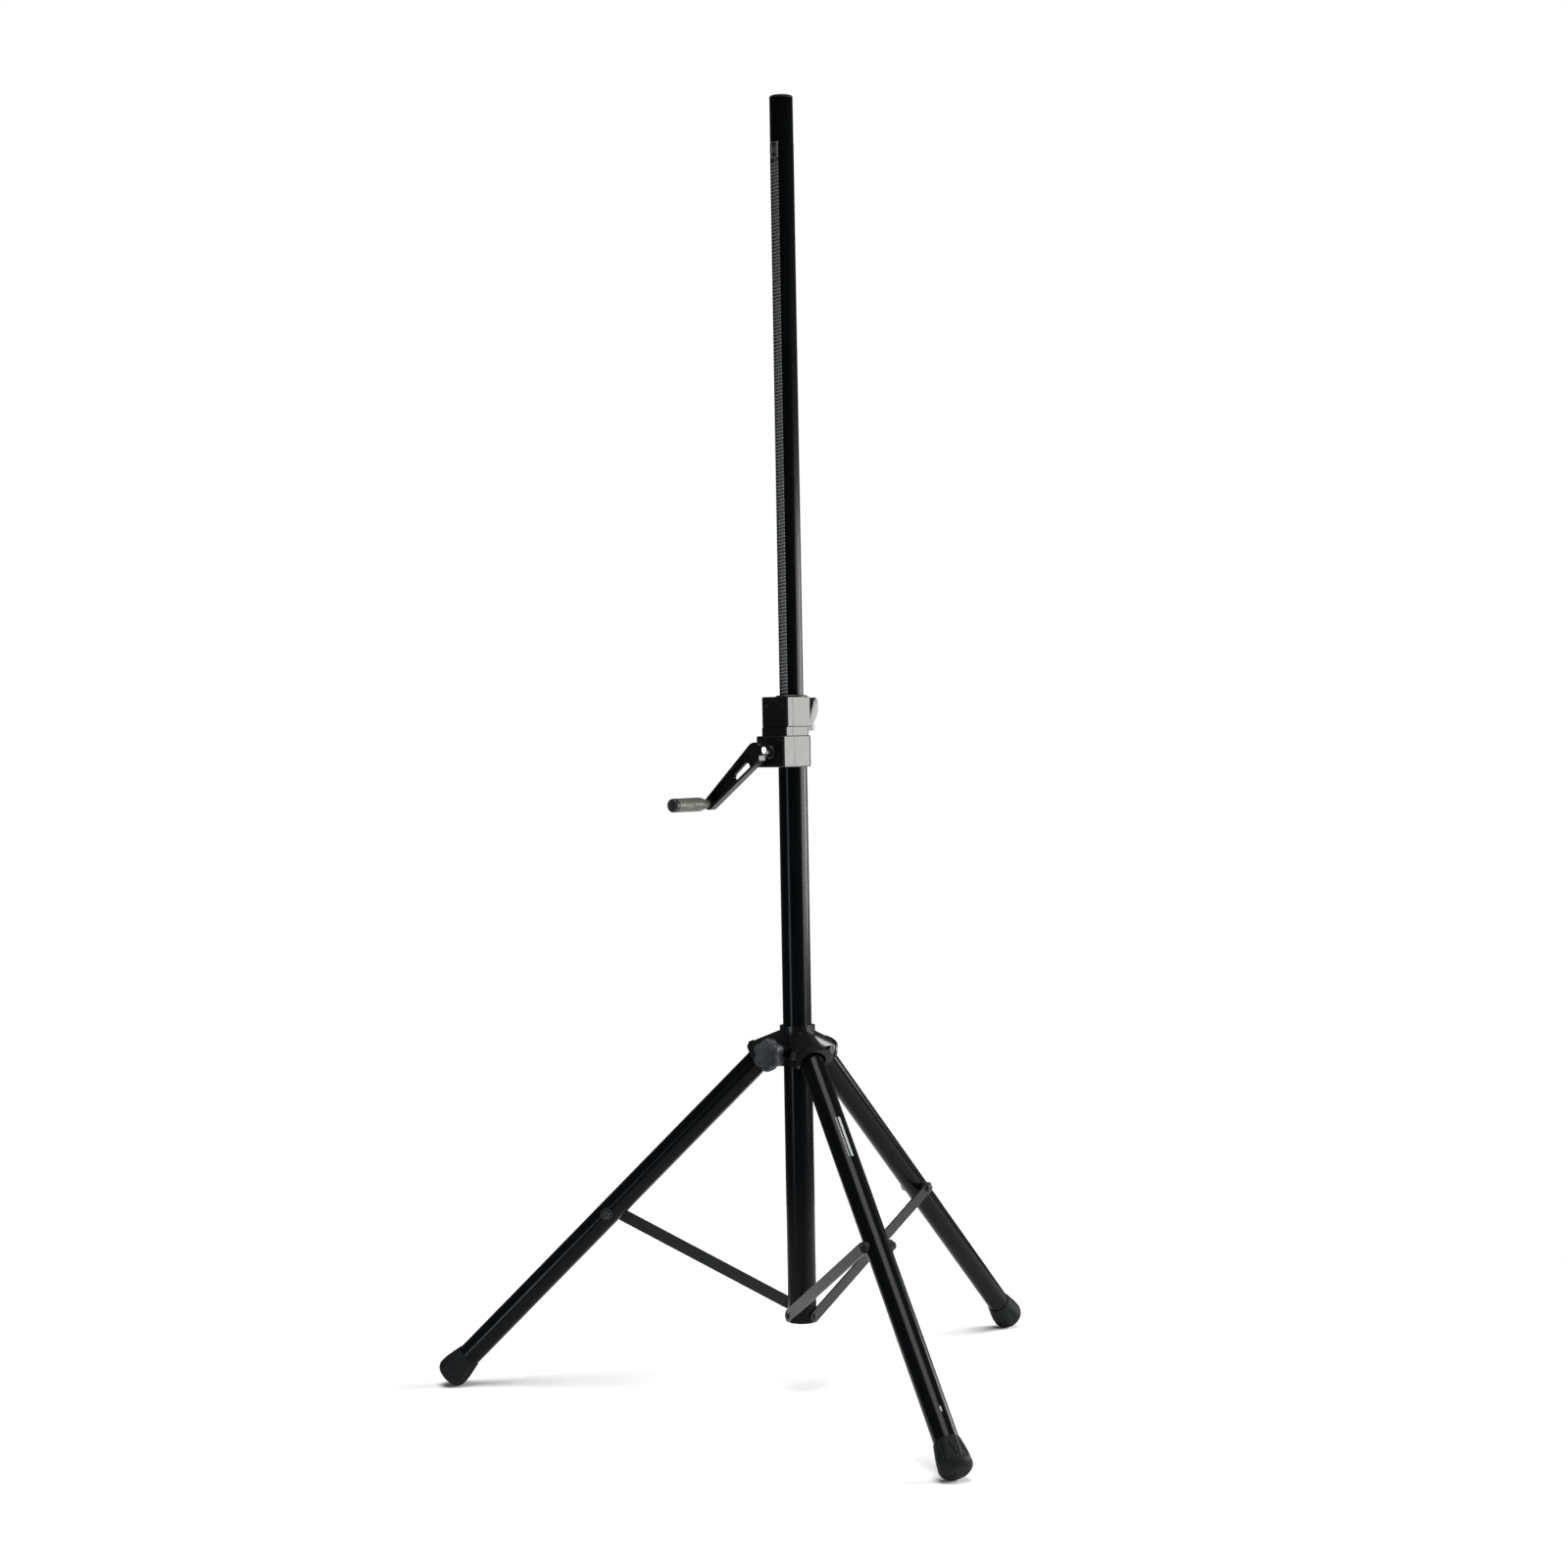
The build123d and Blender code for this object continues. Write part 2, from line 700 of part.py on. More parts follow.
with BuildPart() as grip_end_cap:
    with BuildSketch(grip_plane):
        with BuildLine():
            Line((cap_start - 1, 0), (cap_start - 1, -10.2))
            Line((cap_start - 1, -10.2), (-grip_end - 3, -10.2))
            ThreePointArc((-grip_end - 3, -10.2), (-grip_end - 0.9, -9.0), (-grip_end, -6.5))
            Line((-grip_end, -6.5), (-grip_end, 0))
            Line((-grip_end, 0), (cap_start - 1, 0))
        make_face()
    revolve(axis=grip_axis)
save(grip_end_cap, "grip_end_cap")

# ================================================================ lock
with BuildPart() as lock_lever:
    with BuildSketch(across(-lever_half_width)):
        with BuildLine():
            Spline(
                (26.6, 1000.8), (30.6, 1016), (36.2, 1030), (39.4, 1037), tangents=((0.15, 1), (0.2, 1))
            )
            ThreePointArc((39.4, 1037), (45.4, 1041.8), (50.4, 1035.5))
            Spline(
                (50.4, 1035.5),
                (50.8, 1027),
                (48.4, 1017),
                (42.6, 1007.5),
                (35.2, 999.4),
                tangents=((0.2, -1), (-1, -0.9)),
            )
            Line((35.2, 999.4), (26.6, 1000.8))
        make_face()
        # the hub is a cam that lets the brake shoe back
        with Locations((lever_depth - cam_throw, lever_height)):
            Circle(5.5)
    extrude(amount=2 * lever_half_width)
    with BuildSketch(across(-lever_half_width)):
        with Locations((lever_depth, lever_height)):
            Circle(lever_pin_radius + fit)
    extrude(amount=2 * lever_half_width, mode=Mode.SUBTRACT)
save(lock_lever, "lock_lever")

with BuildPart() as brake_shoe:
    with BuildSketch(facing(24.8)):
        with Locations((0, lever_height)):
            Rectangle(shoe_width, shoe_height)
    extrude(amount=9)
    with BuildSketch(level(lever_height - shoe_height)):
        Circle(mast_radius + 0.1)
    extrude(amount=2 * shoe_height, mode=Mode.SUBTRACT)
save(brake_shoe, "brake_shoe")

# ================================================================ leg hub
hub_bottom = 492.7
hub_top = 552.0
hub_radius = 26.5
hood_half_width = 23.0
hood_slope = 21.75  # degrees below level
hood_axis = (17.5, 523.6)  # a point on the line that the hood's roof is round about
room_slope = 35.0
room_half_width = hypot(leg_radius, leg_end_beyond_pivot) + gap
room_inside = 27.6
room_top = leg_pivot_height + room_half_width + 0.5
knob_height = 514.0
boss_front = -56.0


def tunnel(bearing, along, slope, radius, profile):
    """A leg's hood, or the room under it: a side profile with straight sides and a round roof."""
    side = leg_side(bearing)
    level_part = side.x_dir * cos(radians(slope))
    outward = level_part - Vector(0, 0, 1) * sin(radians(slope))
    axis = side.from_local_coords(Vector(*along, 0))
    with BuildPart() as piece:
        with BuildSketch(side):
            with BuildLine():
                Polyline(*profile, close=True)
            make_face()
        extrude(amount=radius, both=True)
        with BuildSketch(Plane(origin=axis, x_dir=-side.z_dir, z_dir=outward)):
            Circle(radius)
            with Locations((0, -40)):
                Rectangle(2 * radius, 80)
        extrude(amount=90, both=True, mode=Mode.INTERSECT)
    return piece.part


hood_profile = [
    (10, hub_bottom),
    (10, hub_top),
    (58, 540),
    (67, 530.5),
    (71.4, 526.5),
    (73, 521),
    (60, 499),
    (52, hub_bottom),
]
lip_profile = [(64, 545), (72, 538), (74.4, 521), (61.5, 498), (57, 499.5), (69.5, 521)]
room_profile = [
    (room_inside, hub_bottom - 5),
    (room_inside, room_top),
    (100, room_top),
    (100, hub_bottom - 5),
]
pivot = (leg_pivot_radius, leg_pivot_height)

with BuildPart() as hub_body:
    with BuildSketch(level(hub_bottom)):
        Circle(hub_radius)
    extrude(amount=hub_top - hub_bottom)
    for bearing in leg_bearings.values():
        add(tunnel(bearing, hood_axis, hood_slope, hood_half_width, hood_profile))
        add(tunnel(bearing, hood_axis, hood_slope, hood_half_width + 1.3, lip_profile))
    with BuildSketch(facing(-20)):
        with Locations((0, knob_height)):
            Circle(12)
    extrude(amount=-20 - boss_front)
    for bearing in leg_bearings.values():
        add(tunnel(bearing, pivot, room_slope, room_half_width, room_profile), mode=Mode.SUBTRACT)
        with BuildSketch(leg_side(bearing, -30)):
            with Locations(pivot):
                Circle(4)
        extrude(amount=60, mode=Mode.SUBTRACT)
    with BuildSketch(level(hub_bottom)):
        Circle(column_radius + fit)
    extrude(amount=hub_top - hub_bottom, mode=Mode.SUBTRACT)
    with BuildSketch(facing(-column_radius)):
        with Locations((0, knob_height)):
            Circle(4 + fit)
    extrude(amount=40, mode=Mode.SUBTRACT)
save(hub_body, "hub_body")

with BuildPart() as knob_stud:
    with BuildSketch(facing(-column_radius - 0.4)):
        with Locations((0, knob_height)):
            Circle(4)
    extrude(amount=44)
save(knob_stud, "knob_stud")

knob_back = boss_front - 1.6
knob_front = -78.0
with BuildPart() as hub_knob:
    with BuildSketch(facing(knob_back)) as lobes:
        with Locations((0, knob_height)):
            Circle(20.5)
            with PolarLocations(17.6, 6, start_angle=30):
                Circle(7.4)
        middle = facing(knob_back).origin + Vector(0, 0, knob_height)
        fillet(lobes.vertices().sort_by_distance(middle)[:12], 3.2)
    extrude(amount=knob_back - knob_front)
    fillet(hub_knob.faces().sort_by(Axis.Y)[0].edges(), 2.4)
    with BuildSketch(facing(knob_back)):
        with Locations((0, knob_height)):
            Circle(4)
    extrude(amount=9, mode=Mode.SUBTRACT)
save(hub_knob, "hub_knob")

# ================================================================ legs and straps
leg_end = leg_length + 2.0
for name, bearing in leg_bearings.items():
    with BuildPart() as pivot_bolt:
        with BuildSketch(leg_side(bearing, -hood_half_width - 8)):
            with Locations(pivot):
                Circle(4)
        extrude(amount=2 * hood_half_width + 8)
        with BuildSketch(leg_side(bearing, hood_half_width)):
            with Locations(pivot):
                RegularPolygon(7, 6)
        extrude(amount=5.3)
    save(pivot_bolt, f"pivot_bolt_{name}")

    with BuildPart() as pivot_nut:
        with BuildSketch(leg_side(bearing, -hood_half_width)):
            with Locations(pivot):
                RegularPolygon(7, 6)
                Circle(4, mode=Mode.SUBTRACT)
        extrude(amount=-6.5)
    save(pivot_nut, f"pivot_nut_{name}")

    with BuildPart() as leg_tube:
        with BuildSketch(leg_section(bearing, -leg_end_beyond_pivot)):
            Circle(leg_radius)
            Circle(leg_bore, mode=Mode.SUBTRACT)
        extrude(amount=leg_end + leg_end_beyond_pivot)
        with BuildSketch(leg_side(bearing, -30)):
            with Locations(pivot, (bolt_radius, bolt_height)):
                Circle(4 + fit)
        extrude(amount=60, mode=Mode.SUBTRACT)
    save(leg_tube, f"leg_tube_{name}")

    with BuildPart() as leg_plug:
        with BuildSketch(leg_section(bearing, -leg_end_beyond_pivot)):
            Circle(leg_bore)
        extrude(amount=26)
        with BuildSketch(leg_side(bearing, -30)):
            with Locations(pivot):
                Circle(4 + fit)
        extrude(amount=60, mode=Mode.SUBTRACT)
    save(leg_plug, f"leg_plug_{name}")

    base = leg_section(bearing, leg_length)
    upward = Plane(origin=base.origin, x_dir=base.x_dir, z_dir=-base.y_dir)
    sleeve_end = (leg_radius + 1.4, -foot_sleeve)
    rim = (foot_radius - foot_edge, foot_edge)
    with BuildPart() as leg_foot:
        # sketch y runs down the leg, from the middle of the foot's rim
        with BuildSketch(upward):
            with BuildLine():
                Line((leg_radius, 2), (leg_radius, -foot_sleeve))
                Line((leg_radius, -foot_sleeve), sleeve_end)
                Spline(sleeve_end, (21.4, -26), (23.2, -11), (foot_radius, 0), tangents=((0.3, 1), (0, 1)))
                CenterArc((rim[0], 0), foot_edge, 0, 90)
                Line(rim, (0, foot_edge))
                Line((0, foot_edge), (0, 2))
                Line((0, 2), (leg_radius, 2))
            make_face()
        revolve(axis=Axis(base.origin, base.z_dir))
        # long recesses around the flare
        for turn in range(0, 360, 45):
            spoke = leg_section(bearing, leg_length - 14, turn)
            flat = Plane(origin=spoke.origin, x_dir=spoke.z_dir, z_dir=spoke.x_dir)
            with BuildSketch(flat.offset(21.0)):
                SlotOverall(22, 5)
            extrude(amount=5, mode=Mode.SUBTRACT)
    save(leg_foot, f"leg_foot_{name}")

    with BuildPart() as leg_bolt:
        with BuildSketch(leg_side(bearing, -strap_offset + gap)):
            with Locations((bolt_radius, bolt_height)):
                Circle(9)
        extrude(amount=2 * (strap_offset - gap))
        with BuildSketch(leg_section(bearing, strap_bolt_along_leg - 20)):
            Circle(leg_radius)
        extrude(amount=40, mode=Mode.SUBTRACT)
        with BuildSketch(leg_side(bearing, -strap_offset + gap)):
            with Locations((bolt_radius, bolt_height)):
                Circle(4 + fit)
        extrude(amount=2 * (strap_offset - gap))
        # dome nut on the side away from the strap
        with BuildSketch(leg_side(bearing, -strap_offset + gap)):
            with Locations((bolt_radius, bolt_height)):
                Circle(5.8)
        extrude(amount=-6)
        fillet(end_face(leg_bolt, -leg_side(bearing).z_dir).edges(), 3.5)
    save(leg_bolt, f"leg_bolt_{name}")

    strap_plane = leg_side(bearing, strap_offset)
    with BuildPart() as strap_bar:
        with BuildSketch(strap_plane):
            with Locations(
                Location(
                    (bolt_radius / 2, (bolt_height + strap_pivot_height) / 2, 0), 90 - strap_slope
                )
            ):
                SlotCenterToCenter(strap_length, strap_width)
            with Locations((0, strap_pivot_height)):
                Circle(3 + fit, mode=Mode.SUBTRACT)
            with Locations((bolt_radius, bolt_height)):
                Circle(4, mode=Mode.SUBTRACT)
        extrude(amount=strap_thickness)
    save(strap_bar, f"strap_bar_{name}")

    with BuildPart() as strap_head:
        with BuildSketch(strap_plane):
            with Locations((bolt_radius, bolt_height)):
                Circle(4)
        extrude(amount=strap_thickness)
        with BuildSketch(strap_plane.offset(strap_thickness)):
            with Locations((bolt_radius, bolt_height)):
                Circle(6.5)
        extrude(amount=4)
        fillet(end_face(strap_head, leg_side(bearing).z_dir).edges(), 2.8)
    save(strap_head, f"strap_head_{name}")
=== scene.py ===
import json
import math

import bmesh
import bpy
from mathutils import Matrix, Vector


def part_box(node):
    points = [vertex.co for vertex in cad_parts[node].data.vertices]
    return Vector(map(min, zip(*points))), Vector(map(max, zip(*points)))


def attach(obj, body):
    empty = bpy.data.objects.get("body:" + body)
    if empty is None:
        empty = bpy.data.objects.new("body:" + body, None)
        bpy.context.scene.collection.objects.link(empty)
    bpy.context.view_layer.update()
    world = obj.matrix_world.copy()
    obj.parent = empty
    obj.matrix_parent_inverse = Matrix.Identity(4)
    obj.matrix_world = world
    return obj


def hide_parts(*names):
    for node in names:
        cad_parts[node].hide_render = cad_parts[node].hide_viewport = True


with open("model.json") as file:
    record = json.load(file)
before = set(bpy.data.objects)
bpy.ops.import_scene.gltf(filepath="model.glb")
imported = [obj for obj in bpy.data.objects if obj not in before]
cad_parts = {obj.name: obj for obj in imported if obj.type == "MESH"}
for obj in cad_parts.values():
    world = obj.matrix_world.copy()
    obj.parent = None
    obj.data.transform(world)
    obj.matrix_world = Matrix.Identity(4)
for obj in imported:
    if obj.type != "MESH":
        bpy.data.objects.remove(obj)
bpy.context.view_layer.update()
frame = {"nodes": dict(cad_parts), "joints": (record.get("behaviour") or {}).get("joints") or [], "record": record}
nodes = frame["nodes"]
joints = {joint["name"]: joint for joint in frame["joints"]}
collection = bpy.context.scene.collection

# ------------------------------------------------------------------ places, from the frame, in metres
SIDES = ("left", "right", "rear")
LEG_SLOPE = math.radians(45.2)  # between a leg and the column
LEG_RADIUS = 0.018
FOOT_RADIUS = 0.0243
FOOT_EDGE = 0.012  # roundness of the foot's rim
UP = Vector((0, 0, 1))

tube_low, tube_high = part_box("main_tube")
column = ((tube_low + tube_high) / 2).xy.to_3d()


def joint_place(name):
    return Vector(joints[name]["pos_m"])


def leg_frame(side, along):
    """Matrix at a distance down a leg from its pivot: z down the leg, x level, y to its upper side."""
    pivot = joint_place(f"leg_fold_{side}")
    outward = (pivot.xy.to_3d() - column).normalized()
    down = outward * math.sin(LEG_SLOPE) - Vector((0, 0, math.cos(LEG_SLOPE)))
    level = UP.cross(outward)
    upper = down.cross(level)
    return Matrix.Translation(pivot + down * along) @ Matrix((level, upper, down)).transposed().to_4x4()


def facing_frame(place):
    """Matrix for a part turned about a front-to-back axis: z points to the crank side, y is up."""
    return Matrix.Translation(place) @ Matrix(((1, 0, 0), (0, 0, 1), (0, -1, 0))).transposed().to_4x4()


# ------------------------------------------------------------------ materials
DRIFT_SCALE = 38.0  # of the slow change of colour
SMUDGE_SCALE = 90.0  # of the change of roughness
WEAR_AND_GLINT_STARTS, WEAR_AND_GLINT_FULL = 0.53, 0.62  # pointiness of a corner where the corner colour (wear, and on the rack a painted highlight) begins, and where it is full


def noise(tree, coords, **inputs):
    """The value of a noise texture."""
    texture = tree.nodes.new("ShaderNodeTexNoise")
    tree.links.new(coords, texture.inputs["Vector"])
    for name, value in inputs.items():
        texture.inputs[name].default_value = value
    return texture.outputs["Fac"]


def blend_values(tree, factor, low, high):
    """A value that goes from low to high with the factor."""
    ramp = tree.nodes.new("ShaderNodeMapRange")
    ramp.inputs["To Min"].default_value = low
    ramp.inputs["To Max"].default_value = high
    tree.links.new(factor, ramp.inputs["Value"])
    return ramp.outputs["Result"]


def finish_material(
    name,
    colour,
    tint,
    rough,
    rough_spread,
    grain=2500.0,
    grain_depth=0.00002,
    grain_strength=0.3,
    metallic=0.0,
    specular=0.5,
    stretch=(1, 1, 1),
    edge=None,
):
    """A surface whose colour drifts to tint, whose roughness varies and whose grain is a fine bump.
    With edge, a colour and an amount, the surface takes that colour on its corners: wear, and on the rack a
    painted highlight on the teeth's ends."""
    material = bpy.data.materials.new(name)
    material.use_nodes = True
    tree = material.node_tree
    shader = tree.nodes["Principled BSDF"]
    links = tree.links
    place = tree.nodes.new("ShaderNodeTexCoord").outputs["Object"]
    mapping = tree.nodes.new("ShaderNodeMapping")
    mapping.inputs["Scale"].default_value = stretch
    links.new(place, mapping.inputs["Vector"])
    coords = mapping.outputs["Vector"]

    drift = noise(tree, place, Scale=DRIFT_SCALE, Detail=6.0, Roughness=0.6)
    mix = tree.nodes.new("ShaderNodeMix")
    mix.data_type = "RGBA"
    mix.inputs["A"].default_value = (*colour, 1)
    mix.inputs["B"].default_value = (*tint, 1)
    links.new(drift, mix.inputs["Factor"])
    surface_colour = mix.outputs["Result"]
    # corner colour by pointiness: wear, and on the rack a painted highlight where the teeth's ends catch the light
    if edge:
        edge_colour, amount = edge
        corners = tree.nodes.new("ShaderNodeNewGeometry").outputs["Pointiness"]
        wear_and_glint_amount = tree.nodes.new("ShaderNodeMapRange")
        wear_and_glint_amount.inputs["From Min"].default_value = WEAR_AND_GLINT_STARTS
        wear_and_glint_amount.inputs["From Max"].default_value = WEAR_AND_GLINT_FULL
        wear_and_glint_amount.inputs["To Max"].default_value = amount
        links.new(corners, wear_and_glint_amount.inputs["Value"])
        wear_and_glint_mix = tree.nodes.new("ShaderNodeMix")
        wear_and_glint_mix.data_type = "RGBA"
        wear_and_glint_mix.inputs["B"].default_value = (*edge_colour, 1)
        links.new(wear_and_glint_amount.outputs["Result"], wear_and_glint_mix.inputs["Factor"])
        links.new(surface_colour, wear_and_glint_mix.inputs["A"])
        surface_colour = wear_and_glint_mix.outputs["Result"]
    links.new(surface_colour, shader.inputs["Base Color"])

    smudge = noise(tree, coords, Scale=SMUDGE_SCALE, Detail=4.0)
    spread = blend_values(tree, smudge, rough - rough_spread, rough + rough_spread)
    links.new(spread, shader.inputs["Roughness"])

    fine = noise(tree, coords, Scale=grain, Detail=3.0)
    bump = tree.nodes.new("ShaderNodeBump")
    bump.inputs["Strength"].default_value = grain_strength
    bump.inputs["Distance"].default_value = grain_depth
    links.new(fine, bump.inputs["Height"])
    links.new(bump.outputs["Normal"], shader.inputs["Normal"])

    shader.inputs["Metallic"].default_value = metallic
    shader.inputs["Specular IOR Level"].default_value = specular
    return material


tube_paint = finish_material(
    "tube_paint", (0.0016, 0.0020, 0.0024), (0.0026, 0.0031, 0.0036), rough=0.21, rough_spread=0.04,
    grain=1500, grain_depth=0.00003, grain_strength=0.16, specular=0.09,
)
cast_paint = finish_material(
    "cast_paint", (0.0036, 0.0037, 0.0039), (0.0058, 0.0059, 0.0061), rough=0.26, rough_spread=0.05,
    grain=1300, grain_depth=0.00005, grain_strength=0.22, specular=0.24,
    edge=((0.02, 0.02, 0.02), 0.15),
)
strap_paint = finish_material(
    "strap_paint", (0.004, 0.0047, 0.005), (0.007, 0.008, 0.0085), rough=0.32, rough_spread=0.06,
    grain=1800, grain_depth=0.00004, grain_strength=0.3, specular=0.28,
)
# the rack's light corner colour is a painted highlight: the teeth's ends catching the light from the right
rack_steel = finish_material(
    "rack_steel", (0.075, 0.077, 0.08), (0.13, 0.13, 0.13), rough=0.36, rough_spread=0.08,
    grain=900, grain_depth=0.00003, grain_strength=0.3, metallic=0.6, stretch=(6, 6, 1),
    edge=((0.55, 0.55, 0.55), 0.6),
)
dark_steel = finish_material(
    "dark_steel", (0.10, 0.10, 0.105), (0.17, 0.167, 0.16), rough=0.35, rough_spread=0.1,
    grain=700, metallic=1.0, stretch=(1, 12, 1),
)
zinc = finish_material(
    "zinc", (0.55, 0.56, 0.57), (0.70, 0.70, 0.68), rough=0.24, rough_spread=0.08,
    grain=900, metallic=1.0, stretch=(4, 1, 4),
)
black_bolts = finish_material(
    "black_bolts", (0.010, 0.011, 0.0115), (0.022, 0.023, 0.023), rough=0.30, rough_spread=0.09,
    grain=1200, metallic=0.3, specular=0.3, edge=((0.08, 0.08, 0.08), 0.4),
)
bronze = finish_material(
    "bronze", (0.32, 0.20, 0.09), (0.42, 0.28, 0.14), rough=0.42, rough_spread=0.1, metallic=1.0,
)
rubber = finish_material(
    "rubber", (0.0045, 0.0053, 0.0058), (0.0075, 0.0085, 0.009), rough=0.55, rough_spread=0.08,
    grain=1100, grain_depth=0.00006, grain_strength=0.35, specular=0.10,
)
black_plastic = finish_material(
    "black_plastic", (0.0085, 0.0095, 0.0105), (0.013, 0.0145, 0.016), rough=0.46, rough_spread=0.07,
    grain=1700, grain_depth=0.00007, grain_strength=0.5, specular=0.42,
)
knob_plastic = finish_material(
    "knob_plastic", (0.016, 0.021, 0.026), (0.024, 0.030, 0.036), rough=0.50, rough_spread=0.07,
    grain=1700, grain_depth=0.00004, grain_strength=0.25, specular=0.42,
)
grip_plastic = finish_material(
    "grip_plastic", (0.060, 0.062, 0.050), (0.085, 0.087, 0.072), rough=0.45, rough_spread=0.08,
    grain=1500, grain_depth=0.00003, grain_strength=0.15, specular=0.45,
)
lever_plastic = finish_material(
    "lever_plastic", (0.014, 0.0145, 0.0145), (0.022, 0.0225, 0.022), rough=0.34, rough_spread=0.07,
    grain=1500, grain_depth=0.00004, grain_strength=0.25, specular=0.3,
)
print_white = finish_material(
    "print_white", (0.30, 0.31, 0.32), (0.40, 0.41, 0.42), rough=0.4, rough_spread=0.08,
    grain=1500, specular=0.4,
)
material_of_slot = {
    "tube_paint": tube_paint,
    "cast_paint": cast_paint,
    "strap_paint": strap_paint,
    "rack_steel": rack_steel,
    "dark_steel": dark_steel,
    "zinc": zinc,
    "black_bolts": black_bolts,
    "bronze": bronze,
    "rubber": rubber,
    "black_plastic": black_plastic,
    "grip_plastic": grip_plastic,
    "lever_plastic": lever_plastic,
}
for entry in frame["record"]["subparts"]:
    cad = nodes[entry["node"]]
    cad.data.materials.clear()
    cad.data.materials.append(material_of_slot[entry["material_slot"]])


# ------------------------------------------------------------------ mesh helpers
def make_piece(name, mesh, material, body, replaced=()):
    piece = bpy.data.objects.new(name, mesh)
    collection.objects.link(piece)
    mesh.materials.append(material)
    for polygon in mesh.polygons:
        polygon.use_smooth = True
    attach(piece, body)
    if replaced:
        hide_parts(*replaced)
    return piece


def skin(name, point, around, along, place, start_cap=True, end_cap=True):
    """Mesh of rings: point(turn, run) gives a ring's points, with turn and run both from 0 to 1."""
    mesh = bpy.data.meshes.new(name)
    shape = bmesh.new()
    rings = []
    for j in range(along + 1):
        rings.append([shape.verts.new(place @ point(i / around, j / along)) for i in range(around)])
    for lower, upper in zip(rings, rings[1:]):
        for i in range(around):
            k = (i + 1) % around
            shape.faces.new((lower[i], lower[k], upper[k], upper[i]))
    if start_cap:
        shape.faces.new(list(reversed(rings[0])))
    if end_cap:
        shape.faces.new(rings[-1])
    bmesh.ops.recalc_face_normals(shape, faces=shape.faces)
    shape.to_mesh(mesh)
    shape.free()
    return mesh


def ring_point(angle, radius, distance):
    return Vector((radius * math.cos(angle), radius * math.sin(angle), distance))


def along_line(points, run):
    """A place on a chain of (distance, radius) points, with run from 0 to 1 over its length."""
    lengths = [math.dist(a, b) for a, b in zip(points, points[1:])]
    left = run * sum(lengths)
    for (a, b), length in zip(zip(points, points[1:]), lengths):
        if left <= length or b is points[-1]:
            part = min(left / length, 1.0) if length else 0.0
            return tuple(p + (q - p) * part for p, q in zip(a, b))
        left -= length


def quarter_round(distance, radius, size, steps):
    """Points of a rounded edge that turns inwards, after its first point."""
    turns = [k / steps * math.pi / 2 for k in range(1, steps + 1)]
    return [(distance + size * math.sin(turn), radius + size * math.cos(turn)) for turn in turns]


def smoothstep(low, high, value):
    part = min(max((value - low) / (high - low), 0.0), 1.0)
    return part * part * (3 - 2 * part)


# ------------------------------------------------------------------ rubber feet
SOLE_RADIUS = FOOT_RADIUS - FOOT_EDGE
SOLE_DOME = 0.0010
FLARE_LENGTH = 0.0350
LIP_RADIUS = 0.0195
HOLLOWS = 8
HOLLOW_TOP = -0.0320
HOLLOW_LENGTH = 0.0315
HOLLOW_DEPTH = 0.0021
GROOVE_AT = 0.0022
GROOVE_DEPTH = 0.0003
GROOVE_HALF_WIDTH = 0.0006

lip = [
    (-0.0330, 0.0181), (-0.0356, 0.0182), (-0.0360, 0.0187), (-0.0358, 0.0192), (-FLARE_LENGTH, LIP_RADIUS),
]
flare = [
    (-FLARE_LENGTH + FLARE_LENGTH * k / 24, LIP_RADIUS + 0.0048 * math.sin(k / 24 * math.pi / 2) ** 1.15)
    for k in range(1, 25)
]
rim = quarter_round(0, SOLE_RADIUS, FOOT_EDGE, 20)
sole = [(FOOT_EDGE + SOLE_DOME * (1 - (1 - k / 8) ** 2), SOLE_RADIUS * (1 - k / 8)) for k in range(1, 8)]
foot_profile = lip + flare + rim + sole + [(FOOT_EDGE + SOLE_DOME, 0.0003)]


def foot_point(turn, run):
    """A cap that flares from the tube to a rounded rim and a domed sole, with tear-shaped hollows."""
    distance, radius = along_line(foot_profile, run)
    across = abs((turn * HOLLOWS) % 1.0 - 0.5) * 2
    down = (distance - HOLLOW_TOP) / HOLLOW_LENGTH
    if 0 < down < 1:
        width = 0.22 + 0.56 * down
        depth = HOLLOW_DEPTH * math.sin(math.pi * down ** 1.3) ** 0.6
        radius -= depth * (1 - smoothstep(width * 0.62, width, across))
    # a fine groove round the rim, just past its widest ring
    radius -= GROOVE_DEPTH * (1 - smoothstep(0.0, GROOVE_HALF_WIDTH, abs(distance - GROOVE_AT)))
    return ring_point(turn * 2 * math.pi, radius, distance)


for side in SIDES:
    pivot_height = joint_place(f"leg_fold_{side}").z
    centre_height = FOOT_EDGE + SOLE_RADIUS * math.sin(LEG_SLOPE)
    foot_centre = leg_frame(side, (pivot_height - centre_height) / math.cos(LEG_SLOPE))
    foot_mesh = skin(f"foot_{side}", foot_point, 144, 150, foot_centre, start_cap=False)
    make_piece(f"foot_{side}", foot_mesh, rubber, f"leg_{side}", [f"leg_foot_{side}"])

# ------------------------------------------------------------------ hub knob
KNOB_RADIUS = 0.025
KNOB_DEPTH = 0.0204  # of the profile below, which is then stretched to the knob's own length
KNOB_LOBES = 6
KNOB_NOTCH = 0.0044
KNOB_PROFILE = (  # distance to the front, and share of the radius
    (0.0, 0.1), (0.0, 0.80), (0.0006, 0.88), (0.003, 0.93), (0.010, 0.975), (0.0155, 1.0),
    (0.0175, 0.995), (0.0192, 0.965), (0.0202, 0.92), (0.0204, 0.86), (0.0199, 0.80),
    (0.0186, 0.70), (0.0175, 0.55), (0.0168, 0.35), (0.0165, 0.15), (0.0165, 0.02),
)
knob_low, knob_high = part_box("hub_knob")
knob_length = knob_high.y - knob_low.y
knob_place = facing_frame(Vector((column.x, knob_high.y, joint_place("knob_turn").z)))
knob_profile = [(distance, share * KNOB_RADIUS) for distance, share in KNOB_PROFILE]


